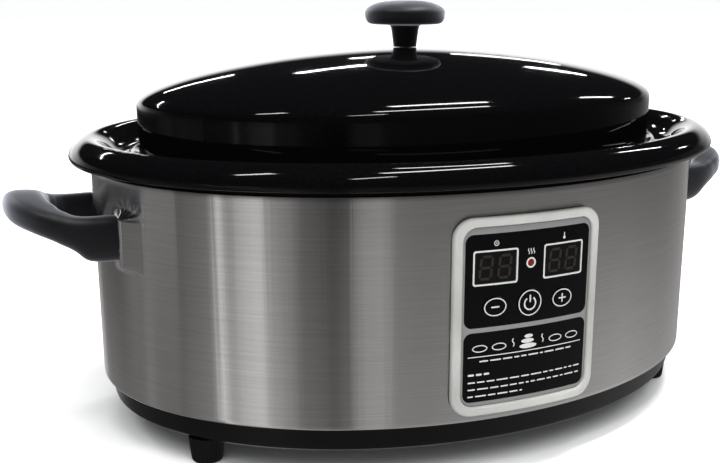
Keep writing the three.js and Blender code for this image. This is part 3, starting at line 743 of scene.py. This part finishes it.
def press_on_wall(x, y, z):
    """Ends both prongs flush on the shell and keeps their first rows out of it."""
    clearance = 0.03
    spacing = 0.12
    wall = oval_x(y) + seat_rise(y, z) + clearance
    for end, inward in ((0, 1), (len(x) - 1, -1)):
        x[end] = wall[end]
        for step in range(1, 12):
            row = end + inward * step
            x[row] = np.maximum(x[row], wall[row] + spacing * step)


def handle(label, side, material):
    """D-shaped grip: upright prongs with a heel at the shell and a broad, flat bow."""
    mirrored = [(x, -y, z, w, h) for x, y, z, w, h in HANDLE_STATIONS[-2::-1]]
    line = smooth_line(HANDLE_STATIONS + mirrored, 9)
    along = np.gradient(line[:, :3], axis=0)
    across = np.stack([along[:, 1], -along[:, 0]], axis=1)
    across /= np.linalg.norm(across, axis=1)[:, None]
    columns = 56
    turn = np.linspace(0, 2 * math.pi, columns, endpoint=False)
    rounding = np.where(np.sin(turn) > 0, 0.66, 0.92)  # squarer above than below
    u = np.sign(np.cos(turn)) * np.abs(np.cos(turn)) ** rounding
    v = np.sign(np.sin(turn)) * np.abs(np.sin(turn)) ** rounding
    wide = line[:, 3][:, None] * u
    x = line[:, 0][:, None] + across[:, 0][:, None] * wide
    y = line[:, 1][:, None] + across[:, 1][:, None] * wide
    z = line[:, 2][:, None] + line[:, 4][:, None] * v
    press_on_wall(x, y, z)
    grid = np.stack([x * side, y, z], axis=2)
    rows = grid.shape[0]
    faces = ring_faces(rows, columns, False)
    faces.append(tuple(range(columns)))
    faces.append(tuple(range((rows - 1) * columns, rows * columns)))
    points = grid.reshape(-1, 3)
    piece = mesh_piece(f"grip_{label}", points, faces, material["black_phenolic"], 50)
    place(piece, "housing", "black_phenolic", f"handle_{label}")


# ------------------------------------------------------------------------ control panel

bezel_low, bezel_high = node_box("panel_bezel")
PANEL_Z = (bezel_low.z + bezel_high.z) / 2
BEZEL_WIDTH = bezel_high.x - bezel_low.x
BEZEL_HEIGHT = bezel_high.z - bezel_low.z
OVERLAY_FACE = 2.5  # how far the overlay's face stands out of the shell
INK = 0.04  # thickness of a printed layer
BLACK_FACE = OVERLAY_FACE + INK
WINDOW_X = 19.5
WINDOW_Z = 108.9
LED_Z = 109.4
KEY_Z = 88.9
KEY_FACE = 3.0  # how far a key's face stands out of the shell
# Name, middle, half width and half height of each key.
KEYS = [("key_minus", -WINDOW_X, 6.4, 5.0), ("key_power", 0, 7.0, 7.0), ("key_plus", WINDOW_X, 6.4, 5.0)]
ZONE_WIDTH = 71.4


def print_on(name, loops, material):
    """A thin pale print on the overlay's black zones."""
    inner = BLACK_FACE - INK * 0.2
    piece = wall_plate(name, loops, inner, inner + INK, material["ink_white"])
    place(piece, "housing", "overlay_film")


def panel_frame(material):
    """Rounded bezel round the overlay."""
    outer = round_box(0, PANEL_Z, BEZEL_WIDTH, BEZEL_HEIGHT, 10.5, 12)
    inner = round_box(0, PANEL_Z, BEZEL_WIDTH - 9.6, BEZEL_HEIGHT - 9.6, 7, 12)
    piece = wall_plate("bezel_frame", [outer, inner], 0.3, 4.0, material["bezel_plastic"], 1.3)
    place(piece, "housing", "bezel_plastic", "panel_bezel")


def key_holes(margin):
    return [oval_loop(x, KEY_Z, rx + margin, rz + margin) for _, x, rx, rz in KEYS]


def window_holes():
    return [round_box(x, WINDOW_Z, 22.4, 15.8, 0.8) for x in (-WINDOW_X, WINDOW_X)]


def panel_film(material):
    """Grey overlay with two black zones: displays and keys above, a label below."""
    outline = round_box(0, PANEL_Z, BEZEL_WIDTH - 10.2, BEZEL_HEIGHT - 10.2, 6.6, 10)
    led_hole = oval_loop(0, LED_Z, 1.8)
    holes = key_holes(0.35) + window_holes() + [led_hole]
    film = wall_plate("overlay_sheet", [outline] + holes, 0.6, OVERLAY_FACE, material["border_grey"])
    place(film, "housing", "overlay_film", "panel_overlay")
    upper = [round_box(0, 102.3, ZONE_WIDTH, 47.0, 4.2)] + holes
    lower = [round_box(0, 58.3, ZONE_WIDTH, 36.2, 4.2)]
    for name, loops in (("zone_upper", upper), ("zone_lower", lower)):
        back = OVERLAY_FACE - 0.01
        zone = wall_plate(name, loops, back, BLACK_FACE, material["overlay_film"])
        place(zone, "housing", "overlay_film")


def ring_loops(x, z, radius_x, radius_z, width):
    return [oval_loop(x, z, radius_x, radius_z), oval_loop(x, z, radius_x - width, radius_z - width)]


def keys(material):
    """Three raised key pads with a printed ring and symbol each."""
    for name, x, rx, rz in KEYS:
        outline = [oval_loop(x, KEY_Z, rx, rz)]
        pad = wall_plate(f"{name}_pad", outline, 0.9, KEY_FACE, material["overlay_film"], 0.25)
        place(pad, name, "overlay_film", name)
        loops = ring_loops(x, KEY_Z, rx - 0.35, rz - 0.35, 0.55) + key_symbol(name, x)
        back, front = KEY_FACE - INK / 2, KEY_FACE + INK / 2
        ink = wall_plate(f"{name}_print", loops, back, front, material["ink_white"])
        place(ink, name, "overlay_film")


def plus_loop(x, z, arm, half):
    """Outline of a plus sign: one arm's three points, turned by quarters."""
    loop = []
    corner = [(-arm, half), (-arm, -half), (-half, -half)]
    for _ in range(4):
        loop += [(x + a, z + b) for a, b in corner]
        corner = [(-b, a) for a, b in corner]
    return loop


def key_symbol(name, x):
    if name == "key_minus":
        return [round_box(x, KEY_Z, 4.4, 0.75, 0.2, 2)]
    if name == "key_plus":
        return [plus_loop(x, KEY_Z, 2.2, 0.37)]
    ring = stroke(arc(0, KEY_Z - 0.3, 3.2, 3.2, 125, 415, 28), 0.8)
    return [ring, round_box(0, KEY_Z + 2.2, 0.8, 3.8, 0.3, 2)]


# Segments of a digit: x and z of the middle in half widths and half heights, and whether
# the segment lies level.
SEGMENTS = [
    (0, 1, True), (0, 0, True), (0, -1, True),
    (-1, 0.5, False), (1, 0.5, False), (-1, -0.5, False), (1, -0.5, False),
]


def digit_loops(x, z, width, height, thick):
    """Seven pointed bars of an unlit digit, leaning a little to the right."""
    loops = []
    slant = 0.1
    for sx, sz, level in SEGMENTS:
        cx, cz = x + sx * width / 2, z + sz * height / 2
        half = (width if level else height / 2) / 2 - 0.35
        tip = half - thick / 2
        lower = [(-half, 0), (-tip, -thick / 2), (tip, -thick / 2)]
        bar = lower + [(-a, -b) for a, b in lower]
        if not level:
            bar = [(-b, a) for a, b in bar]
        loops.append([(cx + a + (cz + b - z) * slant, cz + b) for a, b in bar])
    return loops


def displays(material):
    """Smoked windows with unlit digits in them, each with a printed frame."""
    for label, x in (("left", -WINDOW_X), ("right", WINDOW_X)):
        outline = [round_box(x, WINDOW_Z, 22.0, 15.4, 0.6)]
        lens = wall_plate(f"lens_{label}", outline, -5, 2.2, material["display_lens"])
        place(lens, "housing", "display_lens", f"display_{label}")
        loops = []
        for shift in (-5, 5):
            loops += digit_loops(x + shift, WINDOW_Z, 6.0, 11.0, 1.3)
        digits = wall_plate(f"digits_{label}", loops, 2.18, 2.22, material["segment_grey"])
        place(digits, "housing", "display_lens")
        border = [round_box(x, WINDOW_Z, 24.2, 17.6, 1.3), round_box(x, WINDOW_Z, 22.5, 15.9, 0.8)]
        print_on(f"window_frame_{label}", border, material)


def heat_lamp(material):
    """Small red lens in a pale ring."""
    profile = [(0, 2.9), (0.7, 2.85), (1.2, 2.6), (1.5, 2.1), (1.55, 1.2), (1.55, -5), (0, -5)]
    grid = lathe_points(np.asarray(profile, float), 40)
    turned = np.stack([grid[..., 0], -(SHELL_B + grid[..., 2]), grid[..., 1] + LED_Z], axis=2)
    piece = grid_piece("lamp_lens", turned, False, material["red_lens"])
    place(piece, "housing", "red_lens", "heat_led")
    print_on("lamp_ring", ring_loops(0, LED_Z, 2.7, 2.7, 0.85), material)


def wave_stroke(x, z, height, swing, width):
    t = np.linspace(0, 1, 15)
    return stroke([(x + swing * math.sin(2 * math.pi * s), z + height * (s - 0.5)) for s in t], width)


def label_marks(material):
    """Generic marks: no words. Small icons name the displays and the lamp."""
    top = 120.9
    target = ring_loops(-WINDOW_X, top, 1.35, 1.35, 0.4) + [oval_loop(-WINDOW_X, top, 0.4, steps=12)]
    print_on("icon_set_point", target, material)
    bulb = oval_loop(WINDOW_X, top - 0.9, 0.75, steps=16)
    stem = round_box(WINDOW_X, top + 0.7, 0.6, 2.0, 0.25, 2)
    print_on("icon_thermometer", [bulb], material)
    print_on("icon_thermometer_stem", [stem], material)
    heat = [wave_stroke(x, 115.2, 2.8, 0.35, 0.42) for x in (-1.5, 0, 1.5)]
    print_on("icon_heat", heat, material)
    stones(material)
    rules(material)


def stones(material):
    """Row of pebble outlines with rising heat, in place of a title."""
    row = 68.4
    for i, x in enumerate((-27.0, -16.5, 16.5, 27.0)):
        print_on(f"pebble_{i + 1}", ring_loops(x, row - 0.3, 4.0, 1.9, 0.5), material)
    stack = [(0, 66.4, 5.0, 1.3), (-0.3, 69.1, 3.7, 1.15), (0.2, 71.5, 2.5, 0.95)]
    for i, (x, z, rx, rz) in enumerate(stack):
        print_on(f"stack_stone_{i + 1}", [oval_loop(x, z, rx, rz)], material)
    heat = [wave_stroke(x, 69.2, 4.2, 0.5, 0.55) for x in (-8.6, 8.6)]
    print_on("stack_heat", heat, material)
    print_on("title_rule", [round_box(0, 63.9, 66.5, 0.45, 0.2, 2)], material)


def rules(material):
    """Plain dashes that stand where small print would be."""
    draw = np.random.default_rng(7)
    rows = [  # name, z, height, and where the row starts and stops in x
        ("dashes_1", 61.4, 1.3, -27.0, 27.0),
        ("dashes_2", 54.6, 1.9, -33.0, -19.5),
        ("dashes_3", 50.6, 1.25, -33.0, 33.2),
        ("dashes_4", 46.9, 1.25, -33.0, 33.2),
        ("dashes_5", 43.2, 1.25, -33.0, -2.5),
    ]
    for name, z, height, start, stop in rows:
        loops = []
        x = start
        while x < stop - 1:
            length = min(draw.uniform(1.8, 6.4), stop - x)
            loops.append(round_box(x + length / 2, z, length, height * 0.55, height * 0.2, 2))
            x += length + 1.1
        print_on(name, loops, material)


# ---------------------------------------------------------------------------- the rest

def rear_inlet():
    """Softens the edges of the inlet, whose shape comes from the frame."""
    inlet = frame["nodes"]["mains_inlet"]
    edges = inlet.modifiers.new("soft_edges", "BEVEL")
    edges.width = 0.0004
    edges.segments = 2
    edges.limit_method = "ANGLE"


def dress_frame_nodes(material):
    """Every CAD node takes the material of its slot in the record."""
    for part in frame["record"]["subparts"]:
        node = frame["nodes"][part["node"]]
        node.data.materials.clear()
        node.data.materials.append(material[part["material_slot"]])


# -------------------------------------------------------------------- light and the floor

def floor():
    """Pale floor. Mirror rays pass through it, so that metal shows the studio's walls."""
    mesh = bpy.data.meshes.new("floor")
    half = 9.0
    corners = [(-half, -half, 0), (half, -half, 0), (half, half, 0), (-half, half, 0)]
    mesh.from_pydata(corners, [], [(0, 1, 2, 3)])
    s = Surface("pale_floor", (0.80, 0.80, 0.80), 0.8)
    s.vary_color(s.noise(5, 3), (0.79, 0.79, 0.79), (0.81, 0.81, 0.81))
    clear = s.node("ShaderNodeBsdfTransparent")
    rays = s.node("ShaderNodeLightPath")
    choose = s.node("ShaderNodeMixShader")
    s.link(rays.outputs["Is Glossy Ray"], choose.inputs[0])
    s.link(s.shader.outputs["BSDF"], choose.inputs[1])
    s.link(clear.outputs["BSDF"], choose.inputs[2])
    s.link(choose.outputs["Shader"], s.tree.nodes["Material Output"].inputs["Surface"])
    add_object("floor", mesh, s.material)


def area_light(name, at, target, size, radiance, in_mirrors=True):
    """A rectangle of light. Its power follows from the radiance that it should show."""
    data = bpy.data.lights.new(name, "AREA")
    data.shape = "RECTANGLE"
    data.size, data.size_y = size
    data.energy = radiance * math.pi * size[0] * size[1]
    light = bpy.data.objects.new(name, data)
    light.location = at
    light.rotation_euler = (Vector(target) - Vector(at)).to_track_quat("-Z", "Y").to_euler()
    light.visible_glossy = in_mirrors
    light.visible_camera = False
    bpy.context.scene.collection.objects.link(light)


CEILING = 1.7
TUBE_WIDTH = 0.07
# Ceiling tubes: name, where each starts and ends in metres, and radiance.
TUBES = [
    ("over", (0.05, -0.30), (0.83, -0.12), 85),
    ("over_behind", (0.28, 0.16), (0.87, 0.26), 85),
    ("over_left", (-0.95, -0.15), (-0.52, -0.06), 85),
    ("over_front", (-0.39, -0.95), (0.00, -0.74), 70),
    ("right", (1.80, 0.62), (2.60, 0.86), 78),
    ("far_right", (3.70, 0.85), (4.40, 1.20), 78),
    ("behind", (0.85, 2.86), (1.34, 3.04), 78),
    ("behind_right", (2.59, 3.25), (3.29, 3.40), 78),
    ("far_behind", (0.18, 4.76), (0.93, 4.46), 62),
    ("far_behind_middle", (1.80, 4.38), (2.13, 4.45), 54),
    ("far_behind_right", (3.11, 5.30), (4.43, 5.51), 62),
    ("behind_left", (-1.50, 2.50), (-0.50, 2.75), 70),
]


def tubes():
    """Ceiling tubes that face straight down."""
    for name, start, end, radiance in TUBES:
        a, b = Vector((*start, CEILING)), Vector((*end, CEILING))
        middle = (a + b) / 2
        below = middle - Vector((0, 0, 1))
        light_name = "tube_" + name
        area_light(light_name, middle, below, ((b - a).length, TUBE_WIDTH), radiance)
        turn = math.atan2((b - a).y, (b - a).x)
        bpy.data.objects[light_name].rotation_euler = (0, 0, turn)


# The studio's walls as metal shows them: azimuth in degrees from +X, and radiance high
# up on the body and low down on it.
WALLS = [
    (-180, 0.15, 0.25), (-166, 0.24, 0.32), (-162, 0.36, 0.34), (-161, 1.15, 1.45),
    (-159, 1.15, 1.45), (-158, 0.40, 0.50), (-154, 0.42, 0.56), (-151, 0.82, 0.72),
    (-145, 1.10, 0.82), (-142, 1.20, 0.80), (-140, 0.46, 0.56), (-132, 0.34, 0.40),
    (-128, 0.14, 0.25), (-123, 0.07, 0.26), (-117, 0.00, 0.19), (-112, 0.03, 0.26),
    (-109, 0.40, 0.46), (-101, 0.52, 0.54), (-98, 0.20, 0.40), (-88, 0.14, 0.40),
    (-50, 0.09, 0.55), (-15, 0.09, 0.74), (8, 0.16, 0.55), (31, 0.32, 0.50),
    (60, 0.30, 0.40), (93, 0.10, 0.95), (97, 0.05, 0.80), (104, 0.03, 0.30),
    (135, 0.06, 0.22), (150, 0.30, 0.21), (156, 0.20, 0.36), (162, 0.33, 0.20),
]


def ramp(tree, values):
    """Ramp from azimuth to radiance; values are (azimuth, radiance)."""
    node = tree.nodes.new("ShaderNodeValToRGB")
    stops = node.color_ramp.elements
    for i, (azimuth, radiance) in enumerate(values):
        stop = stops[i] if i < 2 else stops.new(1)
        stop.position = (azimuth + 180) / 360
        stop.color = (radiance, radiance * 0.985, radiance * 0.98, 1)
    return node


def wall_light(tree):
    """Radiance by direction: bands low down, a bright strip behind, dark overhead. The Z
    of a direction is the sine of its elevation."""
    def node(kind, **settings):
        made = tree.nodes.new(kind)
        for key, value in settings.items():
            setattr(made, key, value)
        return made

    def clamp_map(source, start, stop):
        made = node("ShaderNodeMapRange")
        made.inputs["From Min"].default_value = start
        made.inputs["From Max"].default_value = stop
        tree.links.new(source, made.inputs["Value"])
        return made.outputs["Result"]

    def blend(factor, first, second):
        made = node("ShaderNodeMix", data_type="RGBA")
        tree.links.new(factor, made.inputs[0])
        for value, socket in ((first, made.inputs[6]), (second, made.inputs[7])):
            if isinstance(value, tuple):
                socket.default_value = (*value, 1)
            else:
                tree.links.new(value, socket)
        return made.outputs[2]

    direction = node("ShaderNodeTexCoord").outputs["Generated"]
    parts = node("ShaderNodeSeparateXYZ")
    tree.links.new(direction, parts.inputs[0])
    azimuth = node("ShaderNodeMath", operation="ARCTAN2")
    tree.links.new(parts.outputs["Y"], azimuth.inputs[0])
    tree.links.new(parts.outputs["X"], azimuth.inputs[1])
    turn = clamp_map(azimuth.outputs[0], -math.pi, math.pi)
    high = ramp(tree, [(a, r) for a, r, _ in WALLS])
    low = ramp(tree, [(a, r) for a, _, r in WALLS])
    behind = ramp(tree, [(-180, 0.05), (20, 0.10), (50, 1.8), (100, 2.2), (125, 0.5), (150, 0.1)])
    for made in (high, low, behind):
        tree.links.new(turn, made.inputs["Fac"])
    walls = blend(clamp_map(parts.outputs["Z"], -0.38, -0.17), low.outputs[0], high.outputs[0])
    above = blend(clamp_map(parts.outputs["Z"], 0.16, 0.23), behind.outputs[0], (0.015, 0.015, 0.017))
    return blend(clamp_map(parts.outputs["Z"], -0.10, -0.02), walls, above)


FILL_LIGHT = 0.42  # even light from all sides, which mirrors don't show
BACKDROP = 1.02  # what the camera sees behind the object


def studio():
    """Soft, even light on a pale backdrop, with walls and ceiling tubes that the metal
    and the enamel reflect."""
    world = bpy.data.worlds.new("studio")
    bpy.context.scene.world = world
    bpy.context.scene.view_settings.view_transform = "Standard"
    world.use_nodes = True
    tree = world.node_tree
    rays = tree.nodes.new("ShaderNodeLightPath")
    plain = tree.nodes["Background"]
    mirrored = tree.nodes.new("ShaderNodeBackground")
    plain.inputs["Color"].default_value = (0.96, 0.98, 1.0, 1)
    camera_gain = tree.nodes.new("ShaderNodeMapRange")
    camera_gain.inputs["To Min"].default_value = FILL_LIGHT
    camera_gain.inputs["To Max"].default_value = BACKDROP
    tree.links.new(rays.outputs["Is Camera Ray"], camera_gain.inputs["Value"])
    tree.links.new(camera_gain.outputs["Result"], plain.inputs["Strength"])
    tree.links.new(wall_light(tree), mirrored.inputs["Color"])
    choose = tree.nodes.new("ShaderNodeMixShader")
    tree.links.new(rays.outputs["Is Glossy Ray"], choose.inputs[0])
    tree.links.new(plain.outputs["Background"], choose.inputs[1])
    tree.links.new(mirrored.outputs["Background"], choose.inputs[2])
    tree.links.new(choose.outputs["Shader"], tree.nodes["World Output"].inputs["Surface"])
    tubes()
    soft_sun()
    area_light("soft_front", (-0.6, -2.2, 0.9), (0, 0, 0.1), (1.8, 1.2), 0.8, in_mirrors=False)


def soft_sun():
    """Even light from above that reaches all of the floor."""
    data = bpy.data.lights.new("soft_sun", "SUN")
    data.energy = 3.2
    data.angle = math.radians(70)
    light = bpy.data.objects.new("soft_sun", data)
    light.rotation_euler = (math.radians(18), math.radians(-8), 0)
    light.visible_glossy = False
    bpy.context.scene.collection.objects.link(light)


def build():
    material = make_materials()
    dress_frame_nodes(material)
    outer_shell(material)
    top_collar(material)
    liner_well(material)
    base_pan(material)
    feet(material)
    stone_pan(material)
    lid(material)
    lid_knob(material)
    handle("left", -1, material)
    handle("right", 1, material)
    panel_frame(material)
    panel_film(material)
    keys(material)
    displays(material)
    heat_lamp(material)
    label_marks(material)
    rear_inlet()


add_camera()
build()
floor()
studio()
